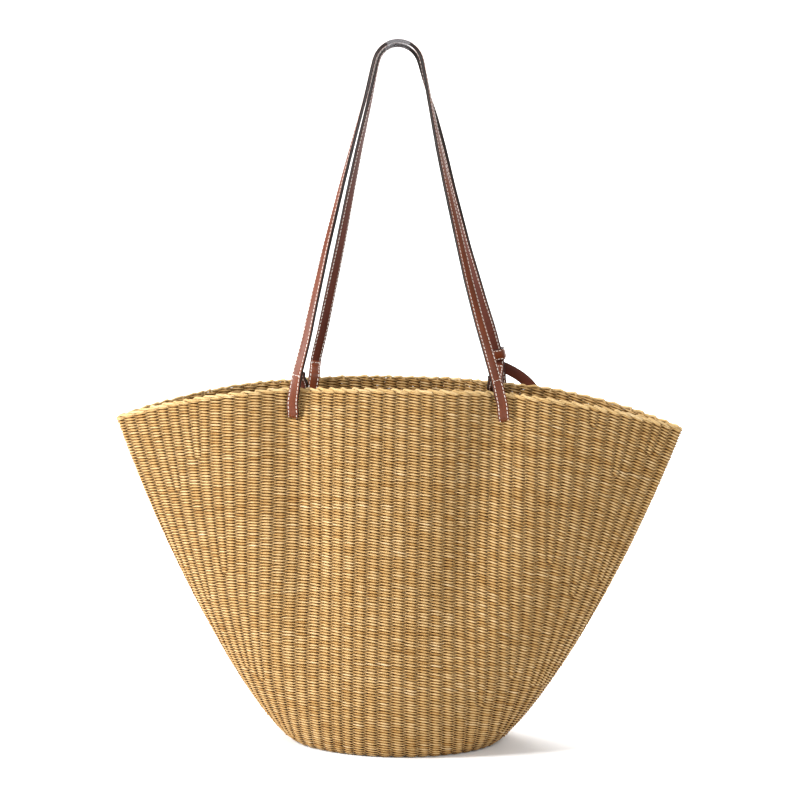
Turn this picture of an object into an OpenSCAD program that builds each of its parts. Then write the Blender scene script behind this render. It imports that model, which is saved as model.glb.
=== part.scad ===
// Fan-shaped woven beach tote with two long leather shoulder handles.
// The front is -Y, the right-hand side is +X, and the bag stands on z = 0.

/* [Basket] */
// Width across the rim from one pinched end to the other
rim_width = 574; // [540:1:600]
// Front-to-back size of the rim at its middle
rim_depth = 140; // [130:1:150]
// Width of the oval base
base_width = 208; // [196:1:220]
// Front-to-back size of the oval base
base_depth = 160; // [150:1:170]
// Height of the rim at its middle
rim_height = 364; // [350:1:376]
// How much lower the rim is at its two ends
rim_drop = 40; // [30:1:50]
// Thickness of the woven wall
wall_t = 5; // [4.5:0.1:5.5]
// Thickness of the woven floor
floor_t = 6; // [5:0.5:8]
// How far each wall is drawn in beside a handle
pinch_depth = 13; // [10:1:14]
// Number of upright stakes in the wall
stake_count = 48; // [24:4:60]

/* [Handles] */
// Width of the leather strap
strap_width = 12; // [11:0.5:13]
// Thickness of one of the strap's two leather layers
layer_t = 1.8; // [1.5:0.1:2]
// Height of the middle of the front strap where it turns over at the top
handle_height = 703; // [680:1:740]
// How much lower the back strap turns over than the front one
handle_step = 5; // [5:0.5:8]
// Distance between the two ends of one handle
handle_span = 208; // [200:1:216]
// How far the back handle sits to the right of the front one
back_shift = 3; // [0:0.5:4]
// Radius of the bend at the top of a handle
crown_radius = 24; // [20:1:28]
// Height at which the straps pass through the wall
slot_height = 338; // [334:1:342]
// Height of the bend above which a handle folds over
fold_height = 425; // [420:1:440]

/* [Tag] */
// Width of the tag's strap
tag_strap_width = 11; // [9:0.5:12]
// Width of the plain tag
tag_width = 26; // [20:1:30]
// Length of the plain tag
tag_length = 44; // [30:1:50]

/* [Hidden] */
AROUND = 72;                // facets around the wall
UPWARD = 10;                // rings of facets up the wall
foot_z = 3;                 // the wall starts this far above the ground
belly = 20;                 // extra half depth of the wall below its middle
pinch_half = 30;            // half width of the drawn-in channel
pinch_foot_x = 55;          // the channel runs up from here
pinch_start = 0.12;         // where it starts and how far up it takes to reach its full depth,
pinch_growth = 0.5;         // in heights of the wall
border_z = 5;               // the top edge of the wall is this far below the top of the rim
border_w = 1.4;             // half width of the border, in half wall thicknesses
stake_half = 0.8;           // half thickness of a stake
slot_depth = 20;            // the slots are cut right through the wall
slot_rise = 3.5;            // and are higher at the top, as the strap curves up on both sides
gap = 0.3;                  // clearance between pieces that don't touch
lift = 0.25;                // thread stands this far out of the leather
thread_w = 0.7;
seam_inset = 1.6;           // from the strap's edge to a row of stitches
half_strap = strap_width/2;
seam_at = half_strap - seam_inset;
strap_t = 2*layer_t;
film_t = 0.35;              // clear sleeve
film_gap = 0.2;
film_reach = 12;            // the sleeve covers the crown this far to each side
crown_y = half_strap + film_gap + film_t + 0.2;
crown_step = 9;             // degrees between stations over the crown
twist_power = 0.8;
twist_z0 = 370;             // the strap lies flat against the wall below this
twist_z1 = 680;             // and stands on edge above this
end_z = 381;                // top of the strap's end that is folded back inside
end_gap = 0.4;              // between that end and the strap in front of it
rim_clear_z = rim_height + 3;
slot_x = handle_span/2;
loop_room = 2.8;            // for the slant of the wall, from the rim border to the strap's lining
loop_r = border_w*wall_t/2 + layer_t + loop_room;
keeper_t = 1.5;
keeper_gap = 0.6;
keeper_z = [384, 395];
keeper_seam_inset = 1.4;
tag_t = 1.8;
tag_tilt = 4;
tag_corner = 5;
tag_seam_inset = 1.6;
tag_hang = [143, 65.2, 322];
// The tag's strap leaves the keeper, turns out to the right and hangs behind the wall.
TAG_PATH = [[97, 62, 383], [99, 62, 378], [104, 62, 373], [112, 62, 369], [122, 62.5, 363],
            [132, 63, 355], [139, 63.5, 345], [142, 64, 333], [143, 65, 322]];
PATCH_A = [86.4, 92.2];     // degrees around the wall
PATCH_V = [0.84, 0.965];    // heights of the wall
PATCH_K = [-2.1, -1.35];    // stands off the inner face, in half wall thicknesses
PATCH_SEAM = 0.15;          // degrees across one row of its stitches

GRASS = "burlywood";
STAKE = "darkkhaki";
LEATHER = "saddlebrown";
LINING = "maroon";
THREAD = "ivory";
FILM = [0.85, 0.88, 0.9, 0.4];

// ---------------------------------------------------------------- curves
function clamp01(t) = min(max(t, 0), 1);
function smooth(t) = let (c = clamp01(t)) c*c*(3 - 2*c);
function mix(a, b, t) = a + (b - a)*t;
function unit(v) = v/norm(v);

// ---------------------------------------------------------------- basket surface
// v runs from 0 at the foot of the wall to 1 at its top edge; k is -1 on the inner face,
// 0 in the middle of the wall and 1 on the outer face.
function flare(v) = pow(v, 0.75)*(1 + 0.1*v*(1 - v));
function half_width(v, k) = mix(base_width, rim_width, flare(v))/2 + (k - 1)*wall_t/2*(1 + v);
function half_depth(v, k) =
    mix(base_depth, rim_depth, v)/2 + belly*sin(180*pow(v, 0.6)) + k*wall_t/2;
// The plan is an oval at the foot and narrows to a point at each end of the rim.
function end_power(v) = 1 + 0.6*smooth((v - 0.15)/0.85);
function pinch(x, v) =
    pinch_depth*smooth((v - pinch_start)/pinch_growth)
        *exp(-pow((abs(x) - mix(pinch_foot_x, slot_x, v))/pinch_half, 2));
function top_z(c) = rim_height - border_z - rim_drop*pow(abs(c), 2.6);
function wall_point(a, v, k) =
    let (c = cos(a), s = sin(a), x = half_width(v, k)*c,
         y = half_depth(v, k)*pow(abs(s), end_power(v)) - pinch(x, v)*min(1, 3*abs(s)))
    [x, sign(s)*y, mix(foot_z, top_z(c), v)];
// Distance of the wall from the middle plane at a given x on its top edge
function rim_y(x) = wall_point(acos(x/half_width(1, 0)), 1, 0)[1];

function ring_v(i) = pow(i/UPWARD, 1.6);
function around(i) = 360*i/AROUND;

// Closed skin over rings of n points each, with the last ring joined to the first if loop is set
function skin(rings, n, loop) =
    [for (i = [0 : rings - (loop ? 1 : 2)], j = [0 : n - 1])
        let (a = i*n, b = ((i + 1) % rings)*n, q = (j + 1) % n)
        each [[a + j, b + j, b + q], [a + j, b + q, a + q]]];

module floor_disc() {
    a = half_width(0, -1) - gap;
    b = half_depth(0, -1) - gap;
    linear_extrude(floor_t)
        polygon([for (i = [0 : AROUND - 1]) [a*cos(around(i)), b*sin(around(i))]]);
}

// The wall's section is one closed outline, up the outside and down the inside.
module woven_wall() {
    outline = concat(
        [for (i = [0 : UPWARD]) [ring_v(i), 1]],
        [for (i = [UPWARD : -1 : 0]) [ring_v(i), -1]]);
    n = len(outline);
    points = [for (i = [0 : AROUND - 1]) for (o = outline) wall_point(around(i), o[0], o[1])];
    difference() {
        polyhedron(points, skin(AROUND, n, true));
        for (side = [-1, 1], end = [-1, 1]) strap_slot(side, end);
    }
}

module strap_slot(side, end) {
    reach = layer_t + lift + 2*gap;
    translate(slot_point(side, end))
        rotate([0, -end*lean(side), 0])
            translate([-half_strap - gap, -slot_depth/2, -reach])
                cube([strap_width + 2*gap, slot_depth, 2*reach + slot_rise]);
}

module stake(a) {
    stations = [0, 0.03, 0.1, 0.22, 0.4, 0.62, 0.82, 0.995];
    sides = [[-1, -1], [1, -1], [1, 1], [-1, 1]];
    points = [for (v = stations)
        let (p = wall_point(a, v, 0),
             w = unit(wall_point(a + 1, v, 0) - wall_point(a - 1, v, 0)))
        for (q = sides) p + stake_half*(q[0]*w + q[1]*[-w[1], w[0], 0])];
    n = len(stations);
    polyhedron(points, concat([[0, 1, 2, 3]], skin(n, 4, false), [end_cap(n)]));
}
// Last face of a skin whose n rings have four points each
function end_cap(n) = [4*n - 1, 4*n - 2, 4*n - 3, 4*n - 4];

module stakes() {
    color(STAKE) for (i = [0 : stake_count - 1]) stake(360*(i + 0.5)/stake_count);
}

// The border's section is an octagon that sits on the wall's top edge.
module border() {
    half = [[1, 0], [border_w, 1.8], [border_w, 4], [0.6, 6]];
    outline = concat([for (o = half) [-o[0], o[1]]], [for (i = [3 : -1 : 0]) half[i]]);
    n = len(outline);
    points = [for (i = [0 : AROUND - 1]) for (o = outline)
        wall_point(around(i), 1, -o[0]) + [0, 0, o[1]]];
    polyhedron(points, skin(AROUND, n, true));
}

// ---------------------------------------------------------------- strap path
// Distance of the wall from the middle plane where a strap passes over the rim
function loop_y(side, end) = rim_y(slot_x + end*shift_of(side) - half_strap);
// side is -1 for the front handle and 1 for the back one; end is -1 for the left leg and 1 for
// the right one. s is the distance from the top of the handle, seen from the front.
function top_of(side) = handle_height - (side > 0 ? handle_step : 0);
function radius_of(side) = crown_radius - (side > 0 ? handle_step : 0)/2;
function centre_z(side) = top_of(side) - radius_of(side);
function shift_of(side) = side > 0 ? back_shift : 0;
function lean(side) =
    let (h = centre_z(side) - slot_height, d = norm([slot_x, h]))
    atan(slot_x/h) - asin(radius_of(side)/d);
function arc_of(side) = radius_of(side)*(90 - lean(side))*PI/180;
function leg_y(side, end, z) =
    side*mix(loop_y(side, end) + loop_r, crown_y, clamp01((z - end_z)/(top_of(side) - end_z)));
function strap_point(side, end, s) =
    let (r = radius_of(side), arc = arc_of(side), l = lean(side), a = min(s, arc)/r*180/PI,
         over = max(s - arc, 0),
         x = r*sin(a) + over*sin(l),
         z = centre_z(side) + r*cos(a) - over*cos(l))
    [end*x + shift_of(side), leg_y(side, end, z), z];
function strap_facing(side, end, s) =
    let (a = min(s, arc_of(side))/radius_of(side)*180/PI,
         z = strap_point(side, end, s)[2],
         e = 90*pow(clamp01((z - twist_z0)/(twist_z1 - twist_z0)), twist_power))
    sin(e)*[end*sin(a), 0, cos(a)] + cos(e)*[0, side, 0];
// Distance along the leg at which the strap is at height z
function leg_s(side, z) =
    arc_of(side) + (centre_z(side) + radius_of(side)*sin(lean(side)) - z)/cos(lean(side));

function slot_point(side, end) =
    [end*slot_x + shift_of(side), side*loop_y(side, end), slot_height];

// Frame at each point: [centre, across, facing], square to the path
function frames(p, facing) =
    [for (i = [0 : len(p) - 1])
        let (t = unit(p[min(i + 1, len(p) - 1)] - p[max(i - 1, 0)]),
             n = unit(facing[i] - (facing[i]*t)*t))
        [p[i], cross(n, t), n]];

// Flat band along frames, from across a to b and from t0 to t1 along the facing
module band(f, a, b, t0, t1) {
    corners = [[a, t0], [b, t0], [b, t1], [a, t1]];
    points = [for (q = f) for (c = corners) q[0] + c[0]*q[1] + c[1]*q[2]];
    n = len(f);
    sides = [for (i = [0 : n - 2]) let (p = 4*i, q = 4*i + 4)
        each [[p, q, q + 1], [p, q + 1, p + 1], [p + 1, q + 1, q + 2], [p + 1, q + 2, p + 2],
              [p + 2, q + 2, p + 3], [q + 2, q + 3, p + 3], [p + 3, q + 3, q], [p + 3, q, p]]];
    polyhedron(points, concat([[0, 1, 2, 3]], sides, [end_cap(n)]));
}

function steps(a, b, n) = [for (i = [0 : n]) mix(a, b, i/n)];

// Upper part of a handle, from one fold line over the crown to the other
function crown_angles(side) =
    let (m = floor((90 - lean(side))/crown_step))
    steps(-m*crown_step, m*crown_step, 2*m);
function handle_stations(side) =
    let (low = leg_s(side, fold_height + gap), arc = arc_of(side), leg = steps(low, arc, 12))
    concat([for (s = leg) -s],
           [for (a = crown_angles(side)) a*PI/180*radius_of(side)],
           [for (i = [len(leg) - 1 : -1 : 0]) leg[i]]);
function handle_frames(side) =
    let (st = handle_stations(side))
    frames([for (s = st) strap_point(side, sign_of(s), abs(s))],
           [for (s = st) strap_facing(side, sign_of(s), abs(s))]);
function sign_of(s) = s < 0 ? -1 : 1;
function sleeve_frames(side) =
    [for (f = handle_frames(side)) if (abs(f[0][0] - shift_of(side)) < film_reach) f];

// End of a handle: down the outside, in through the wall and up behind itself
function loop_depth(z) =
    mix(2*loop_r, strap_t + end_gap, smooth((z - rim_clear_z)/(end_z - half_strap - rim_clear_z)));
function point_at(side, end, z) = strap_point(side, end, leg_s(side, z));
function facing_at(side, end, z) = strap_facing(side, end, leg_s(side, z));
function loop_frames(side, end) =
    let (down = steps(fold_height, slot_height + loop_r, 12),
         c = slot_point(side, end) + loop_r*up_leg(side, end),
         turn = [for (i = [1 : 7])
             let (a = 180*i/8) cos(a)*[0, side, 0] - sin(a)*up_leg(side, end)],
         up = steps(slot_height + loop_r, end_z, 9),
         points = concat(
             [for (z = down) point_at(side, end, z)],
             [for (n = turn) c + loop_r*n],
             [for (z = up) point_at(side, end, z) - loop_depth(z)*facing_at(side, end, z)]),
         facing = concat(
             [for (z = down) facing_at(side, end, z)],
             turn,
             [for (z = up) -facing_at(side, end, z)]))
    frames(points, facing);
function up_leg(side, end) = [-end*sin(lean(side)), 0, cos(lean(side))];

module face_layer(f) { color(LEATHER) band(f, -half_strap, half_strap, 0, layer_t); }
module lining_layer(f) { color(LINING) band(f, -half_strap, half_strap, -layer_t, 0); }
module seam_rows(f) {
    for (e = [-1, 1])
        band(f, e*seam_at - thread_w/2, e*seam_at + thread_w/2, layer_t - 0.1, layer_t + lift);
}
// Row of stitches straight across the strap between two frames
module cross_seam(f, g) {
    d = unit(g[0] - f[0]);
    h = thread_w/2;
    band([[f[0] - h*d, f[1], f[2]], [f[0] + h*d, f[1], f[2]]],
         -seam_at, seam_at, layer_t - 0.1, layer_t + lift);
}
module sleeve(side) {
    f = sleeve_frames(side);
    n = len(f);
    a = half_strap + film_gap;
    lo = -layer_t - film_gap;
    hi = layer_t + lift + film_gap;
    inner = concat([stretch(f[0], f[1], 1)], f, [stretch(f[n - 1], f[n - 2], 1)]);
    color(FILM) difference() {
        band(f, -a - film_t, a + film_t, lo - film_t, hi + film_t);
        band(inner, -a, a, lo, hi);
    }
}
// Frame f moved a distance d away from its neighbour g
function stretch(f, g, d) = [f[0] + d*unit(f[0] - g[0]), f[1], f[2]];

module handle_face(side) { face_layer(handle_frames(side)); }
module handle_lining(side) { lining_layer(handle_frames(side)); }
module handle_seams(side) { color(THREAD) seam_rows(handle_frames(side)); }
module loop_face(side, end) { face_layer(loop_frames(side, end)); }
module loop_lining(side, end) { lining_layer(loop_frames(side, end)); }
module loop_seams(side, end) {
    f = loop_frames(side, end);
    color(THREAD) {
        seam_rows(f);
        cross_seam(f[6], f[7]);
        cross_seam(f[len(f) - 2], f[len(f) - 1]);
    }
}

// ---------------------------------------------------------------- keeper and tag
// The keeper's two ends, each moved outwards by a distance
function keeper_frames(by) =
    let (facing = facing_at(1, 1, (keeper_z[0] + keeper_z[1])/2))
    frames([point_at(1, 1, keeper_z[0] - by), point_at(1, 1, keeper_z[1] + by)],
           [facing, facing]);
keeper_in = [-half_strap - keeper_gap, half_strap + keeper_gap,
             -layer_t - keeper_gap, layer_t + tag_t + 2*keeper_gap];

module keeper() {
    k = keeper_in;
    color(LEATHER) difference() {
        band(keeper_frames(0), k[0] - keeper_t, k[1] + keeper_t, k[2] - keeper_t, k[3] + keeper_t);
        band(keeper_frames(3), k[0], k[1], k[2], k[3]);
    }
}
// Thread along both ends of the keeper, on its two broad faces
module keeper_seams() {
    k = keeper_in;
    f = keeper_frames(-keeper_seam_inset);
    along = unit(f[1][0] - f[0][0]);
    color(THREAD) for (q = f) {
        row = [for (d = [-1, 1]) [q[0] + d*thread_w/2*along, q[1], q[2]]];
        band(row, k[0], k[1], k[3] + keeper_t, k[3] + keeper_t + lift);
        band(row, k[0], k[1], k[2] - keeper_t - lift, k[2] - keeper_t);
    }
}

function tag_frames() = frames(TAG_PATH, [for (p = TAG_PATH) [0, 1, 0]]);
module tag_strap() {
    half = tag_strap_width/2;
    color(LINING) band(tag_frames(), -half, half, -tag_t/2, tag_t/2);
}
module at_tag() {
    translate(tag_hang) rotate([tag_tilt, 0, 0]) translate([0, 0, -tag_length - gap]) children();
}
module tag_sheet(inset, t) {
    rotate([90, 0, 0]) linear_extrude(t, center = true) translate([-tag_width/2, 0])
        offset(tag_corner - inset) offset(-tag_corner) square([tag_width, tag_length]);
}
module tag() { color(LEATHER) at_tag() tag_sheet(0, 2*tag_t); }
module tag_seams() {
    color(THREAD) at_tag() for (e = [-1, 1])
        translate([0, e*(tag_t + lift/2), 0]) difference() {
            tag_sheet(tag_seam_inset, lift);
            tag_sheet(tag_seam_inset + thread_w, 3*lift);
        }
}

// ---------------------------------------------------------------- inner patch
// Piece of a sheet that follows the wall, between two angles, two heights and two depths
module wall_patch(a0, a1, v0, v1, k0, k1) {
    n = 4;
    m = 5;
    points = [for (i = [0 : m], j = [0 : n], k = [k0, k1])
        wall_point(mix(a0, a1, j/n), mix(v0, v1, i/m), k)];
    outline = concat([for (j = [0 : n]) 2*j], [for (j = [n : -1 : 0]) 2*j + 1]);
    ring = 2*(n + 1);
    q = len(outline);
    sides = [for (i = [0 : m - 1], j = [0 : q - 1])
        let (p = i*ring + outline[j], r = i*ring + outline[(j + 1) % q])
        each [[p, p + ring, r + ring], [p, r + ring, r]]];
    caps = [for (j = [0 : n - 1]) each [[2*j, 2*j + 2, 2*j + 3], [2*j, 2*j + 3, 2*j + 1]]];
    top = m*ring;
    lids = [for (c = caps) [c[2] + top, c[1] + top, c[0] + top]];
    polyhedron(points, concat(caps, sides, lids));
}
module inner_patch() {
    color(LEATHER) wall_patch(PATCH_A[0], PATCH_A[1], PATCH_V[0], PATCH_V[1], PATCH_K[0], PATCH_K[1]);
}
module inner_patch_seams() {
    edge = 2*PATCH_SEAM;
    color(THREAD) for (a = [PATCH_A[0] + edge, PATCH_A[1] - edge - PATCH_SEAM])
        wall_patch(a, a + PATCH_SEAM, PATCH_V[0] + 0.005, PATCH_V[1] - 0.005,
                   PATCH_K[0] - 0.1, PATCH_K[0]);
}

color(GRASS) floor_disc();  // floor
color(GRASS) woven_wall();  // wall
stakes();
color(GRASS) border();  // rim_border
handle_face(-1);  // front_handle_face
handle_lining(-1);  // front_handle_lining
handle_seams(-1);  // front_handle_seams
sleeve(-1);  // front_handle_sleeve
handle_face(1);  // back_handle_face
handle_lining(1);  // back_handle_lining
handle_seams(1);  // back_handle_seams
sleeve(1);  // back_handle_sleeve
loop_face(-1, -1);  // front_left_loop_face
loop_lining(-1, -1);  // front_left_loop_lining
loop_seams(-1, -1);  // front_left_loop_seams
loop_face(-1, 1);  // front_right_loop_face
loop_lining(-1, 1);  // front_right_loop_lining
loop_seams(-1, 1);  // front_right_loop_seams
loop_face(1, -1);  // back_left_loop_face
loop_lining(1, -1);  // back_left_loop_lining
loop_seams(1, -1);  // back_left_loop_seams
loop_face(1, 1);  // back_right_loop_face
loop_lining(1, 1);  // back_right_loop_lining
loop_seams(1, 1);  // back_right_loop_seams
keeper();
keeper_seams();
tag_strap();
tag();
tag_seams();
inner_patch();
inner_patch_seams();
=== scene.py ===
"""Straw beach bag: twined floor and wall, folded rim, and two leather handles looped through it.

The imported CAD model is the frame: +Z up, +X to the right along the rim, +Y to the back.
Shapes are worked out in millimetres, and Shell.build turns them into metres.
"""

import math

import bpy
import numpy as np
from mathutils import Matrix, Vector


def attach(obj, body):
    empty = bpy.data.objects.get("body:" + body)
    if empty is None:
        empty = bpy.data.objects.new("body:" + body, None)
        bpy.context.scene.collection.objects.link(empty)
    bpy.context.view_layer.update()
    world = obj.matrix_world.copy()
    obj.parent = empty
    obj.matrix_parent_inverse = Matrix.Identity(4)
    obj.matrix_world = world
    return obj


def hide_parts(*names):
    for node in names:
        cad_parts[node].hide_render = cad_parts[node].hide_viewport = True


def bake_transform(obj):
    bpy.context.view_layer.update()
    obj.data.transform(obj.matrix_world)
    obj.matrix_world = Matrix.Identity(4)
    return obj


MM = 0.001
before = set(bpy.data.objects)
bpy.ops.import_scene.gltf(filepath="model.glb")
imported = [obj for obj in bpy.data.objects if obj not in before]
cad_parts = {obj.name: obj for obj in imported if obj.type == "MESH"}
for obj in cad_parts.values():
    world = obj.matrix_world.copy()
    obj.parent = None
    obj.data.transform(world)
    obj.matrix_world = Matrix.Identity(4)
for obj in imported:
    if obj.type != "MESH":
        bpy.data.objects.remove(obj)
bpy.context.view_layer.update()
rng = np.random.default_rng(11)


# -------------------- camera
CAMERA_DISTANCE = 2.4
CAMERA_HEIGHT = 0.60
CAMERA_TURN = math.radians(5.3)
CAMERA_ROLL = math.radians(0.6)
CAMERA_AIM = Vector((0.003, 0.0, 0.3465))
LENS = 108.0


def add_object(name, data):
    made = bpy.data.objects.new(name, data)
    bpy.context.scene.collection.objects.link(made)
    return made


def add_camera():
    data = bpy.data.cameras.new("camera")
    data.lens = LENS
    data.sensor_width = 36.0
    data.clip_end = 50.0
    camera = add_object("camera", data)
    place = Vector((CAMERA_DISTANCE*math.sin(CAMERA_TURN), -CAMERA_DISTANCE*math.cos(CAMERA_TURN),
                    CAMERA_HEIGHT))
    look = (CAMERA_AIM - place).to_track_quat("-Z", "Y")
    turn = look.to_matrix().to_4x4() @ Matrix.Rotation(CAMERA_ROLL, 4, "Z")
    camera.matrix_world = Matrix.Translation(place) @ turn
    bpy.context.scene.camera = camera


add_camera()


# -------------------- small helpers
def smooth(t):
    c = np.clip(t, 0.0, 1.0)
    return c*c*(3 - 2*c)


def mix(a, b, t):
    return a + (b - a)*t


def unit(v):
    return v/np.maximum(np.linalg.norm(v, axis=-1, keepdims=True), 1e-9)


def square_to(axis, vector):
    """The part of a vector that is at right angles to an axis, as a unit vector"""
    return unit(vector - axis*np.sum(vector*axis, -1, keepdims=True))


def along_line(points):
    """Distance of each point of an open line from its first point"""
    step = np.linalg.norm(np.diff(points, axis=0), axis=1)
    return np.concatenate([[0.0], np.cumsum(step)])


def points_at(at, run, points):
    """Points (or other rows of numbers) at distances along a line, between those given for run"""
    return np.stack([np.interp(at, run, column) for column in points.T], -1)


def around(sides):
    """Angles of the corners of a round section"""
    return 2*np.pi*np.arange(sides)/sides


def curve_weights(knots, count):
    """Weights that turn knots into count points on a smooth curve through them (Catmull-Rom)"""
    t = np.linspace(0, knots - 1, count)
    i = np.minimum(t.astype(int), knots - 2)
    f = t - i
    basis = 0.5*np.stack([-f + 2*f**2 - f**3, 2 - 5*f**2 + 3*f**3, f + 4*f**2 - 3*f**3,
                          -f**2 + f**3], -1)
    weights = np.zeros((count, knots))
    for k in range(4):
        np.add.at(weights, (np.arange(count), np.clip(i + k - 1, 0, knots - 1)), basis[:, k])
    return weights


def sweep(paths, facing, section):
    """Rings of points along paths. section's last axis is (across, facing), and it turns
    anticlockwise seen against the path's direction."""
    tangent = unit(np.gradient(paths, axis=-2))
    normal = square_to(tangent, facing)
    across = np.cross(normal, tangent)
    return (paths[..., None, :] + section[..., 0:1]*across[..., None, :]
            + section[..., 1:2]*normal[..., None, :])


def oval(sides, half_width, half_height):
    """Points of an oval section, one ring for each pair of half sizes"""
    a = around(sides)
    w = np.asarray(half_width, float)[..., None]
    h = np.asarray(half_height, float)[..., None]
    return np.stack([w*np.cos(a), h*np.sin(a)], -1)


class Shell:
    """Gathers the points, faces and point values of one piece."""

    def __init__(self):
        self.points = []
        self.faces = []
        self.slots = []
        self.values = {}
        self.count = 0

    def add_tubes(self, rings, slot=0, closed=False, **values):
        """rings is (tubes, rings, sides, 3), and slot a material index, or one for each side. A
        closed tube's last ring joins its first, and an open tube has a face at each end."""
        tubes, length, sides = rings.shape[:3]
        steps = length if closed else length - 1
        i = np.arange(steps)[:, None]*sides
        j = np.arange(sides)[None, :]
        above = (i + sides) % (length*sides)
        beside = (j + 1) % sides
        quads = np.stack([i + j, i + beside, above + beside, above + j], -1).reshape(-1, 4)
        start = self.count + np.arange(tubes)[:, None, None]*length*sides
        side_slots = np.tile(np.broadcast_to(slot, sides), steps)
        self._add_faces((quads[None] + start).reshape(-1, 4), np.tile(side_slots, tubes))
        if not closed:
            ring = np.arange(sides)
            caps = np.stack([ring[::-1], ring + (length - 1)*sides])
            caps = (caps[None] + start).reshape(-1, sides)
            self._add_faces(caps, np.full(len(caps), np.max(slot)))
        self.points.append(rings.reshape(-1, 3))
        self.count += rings.size//3
        for name, value in values.items():
            shape = rings.shape[:3] + ((3,) if np.ndim(value) == 4 else ())
            value = np.broadcast_to(value, shape)
            self.values.setdefault(name, []).append(value.reshape(-1, *shape[3:]))

    def _add_faces(self, faces, slots):
        self.faces.append(faces)
        self.slots.append(slots)

    def build(self, name, materials, table_slot):
        """The piece as an object, in metres, not yet riding on a body"""
        mesh = bpy.data.meshes.new(name)
        points = np.concatenate(self.points)*MM
        corners = np.concatenate([f.ravel() for f in self.faces]).astype(np.int32)
        sizes = np.concatenate([np.full(len(f), f.shape[1]) for f in self.faces])
        starts = np.concatenate([[0], np.cumsum(sizes)[:-1]]).astype(np.int32)
        mesh.vertices.add(len(points))
        mesh.vertices.foreach_set("co", points.astype(np.float32).ravel())
        mesh.loops.add(len(corners))
        mesh.loops.foreach_set("vertex_index", corners)
        mesh.polygons.add(len(sizes))
        mesh.polygons.foreach_set("loop_start", starts)
        mesh.polygons.foreach_set("material_index", np.concatenate(self.slots).astype(np.int32))
        for key, parts in self.values.items():
            value = np.concatenate(parts).astype(np.float32)
            kind = "FLOAT_VECTOR" if value.ndim == 2 else "FLOAT"
            attribute = mesh.attributes.new(key, kind, "POINT")
            attribute.data.foreach_set("vector" if value.ndim == 2 else "value", value.ravel())
        mesh.update(calc_edges=True)
        mesh.shade_smooth()
        for material in materials:
            mesh.materials.append(material)
        piece = add_object(name, mesh)
        return piece


# -------------------- basket surface
BASE_WIDTH = 208.0
BASE_DEPTH = 160.0
RIM_WIDTH = 574.0
RIM_DEPTH = 140.0
BELLY = 20.0
WALL_T = 5.0
WALL_TOP = 359.0
RIM_DROP = 40.0
FOOT_Z = 3.0
PINCH_DEPTH = 13.0
PINCH_HALF = 30.0
PINCH_FOOT_X = 55.0
SLOT_X = 104.0
FLARE_POWER = 0.75  # below 1, the sides flare out more near the floor
FLARE_BOW = 0.1
BELLY_POWER = 0.6  # below 1, the belly is lower than the middle
RIM_POWER = 2.6  # how suddenly the rim drops towards its ends
END_POWER = 0.6  # how much more pointed the rim's ends are than an ellipse's
PINCH_START = 0.12
PINCH_RISE = 0.5
POINTED_START = 0.15


def half_width(v, k):
    flare = v**FLARE_POWER*(1 + FLARE_BOW*v*(1 - v))
    return mix(BASE_WIDTH, RIM_WIDTH, flare)/2 + (k - 1)*WALL_T/2*(1 + v)


def half_depth(v, k):
    return mix(BASE_DEPTH, RIM_DEPTH, v)/2 + BELLY*np.sin(np.pi*v**BELLY_POWER) + k*WALL_T/2


def wall_point(a, v, k=0.0, wide=0.0):
    """Point of the wall at angle a and height v; k is -1 inside, 0 in the middle and 1 outside,
    and wide is that measure for the width alone, on top of k."""
    c, s = np.cos(a), np.sin(a)
    x = half_width(v, k + wide)*c
    pinch = (PINCH_DEPTH*smooth((v - PINCH_START)/PINCH_RISE)
             * np.exp(-((np.abs(x) - mix(PINCH_FOOT_X, SLOT_X, v))/PINCH_HALF)**2))
    power = 1 + END_POWER*smooth((v - POINTED_START)/(1 - POINTED_START))
    y = half_depth(v, k)*np.abs(s)**power - pinch*np.minimum(1, 3*np.abs(s))
    z = mix(FOOT_Z, WALL_TOP - RIM_DROP*np.abs(c)**RIM_POWER, v)
    return np.stack(np.broadcast_arrays(x, np.sign(s)*y, z), -1)


# -------------------- rows of weft
FLOOR_ROWS = 28
WALL_ROWS = 129  # the last one stands on the wall's top edge
ROW_PITCH = BASE_DEPTH/2/FLOOR_ROWS
FLOOR_Z = 2.3
END_WIDEN = 0.6
ROUND_OFF = 3.2  # millimetres over which a row's sharp turns are rounded
LINE = 2048  # points of a row's line
TRACE = 1440  # angles at which the surface is traced
LEVELS = 161  # heights at which it is traced, closer together near the floor
LEVEL_POWER = 1.3


def even_loop(points, round_off):
    """LINE points evenly spaced along a closed line, its corners rounded, and its length"""
    closed = np.vstack([points, points[:1]])
    run = along_line(closed)
    at = np.linspace(0, run[-1], LINE, endpoint=False)
    even = points_at(at, run, closed)
    wave = 2*np.pi*np.fft.rfftfreq(LINE, run[-1]/LINE)
    soften = np.exp(-0.5*(wave*round_off)**2)[:, None]
    return np.fft.irfft(np.fft.rfft(even, axis=0)*soften, LINE, axis=0), run[-1]


def floor_loop(row, angles):
    """Oval row of the floor, round a straight core"""
    core = half_width(0.0, 0.0) - half_depth(0.0, 0.0)
    b = (row + 0.5)*ROW_PITCH
    return np.stack([(core + b)*np.cos(angles), b*np.sin(angles), np.full_like(angles, FLOOR_Z)], -1)


def wall_loops(angles, shares):
    """Rows of the wall at equal shares of the way up it, measured along its surface"""
    v = np.linspace(0, 1.01, LEVELS)**LEVEL_POWER
    grid = wall_point(angles[None, :], v[:, None], wide=END_WIDEN)
    rise = np.cumsum(np.linalg.norm(np.diff(grid, axis=0), axis=2), axis=0)
    rise = np.vstack([np.zeros(len(angles)), rise])
    rise = rise/points_at(1.0, v, rise)
    heights = np.stack([np.interp(shares, rise[:, j], v) for j in range(len(angles))], 1)
    return wall_point(angles[None, :], heights, wide=END_WIDEN)


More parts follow.
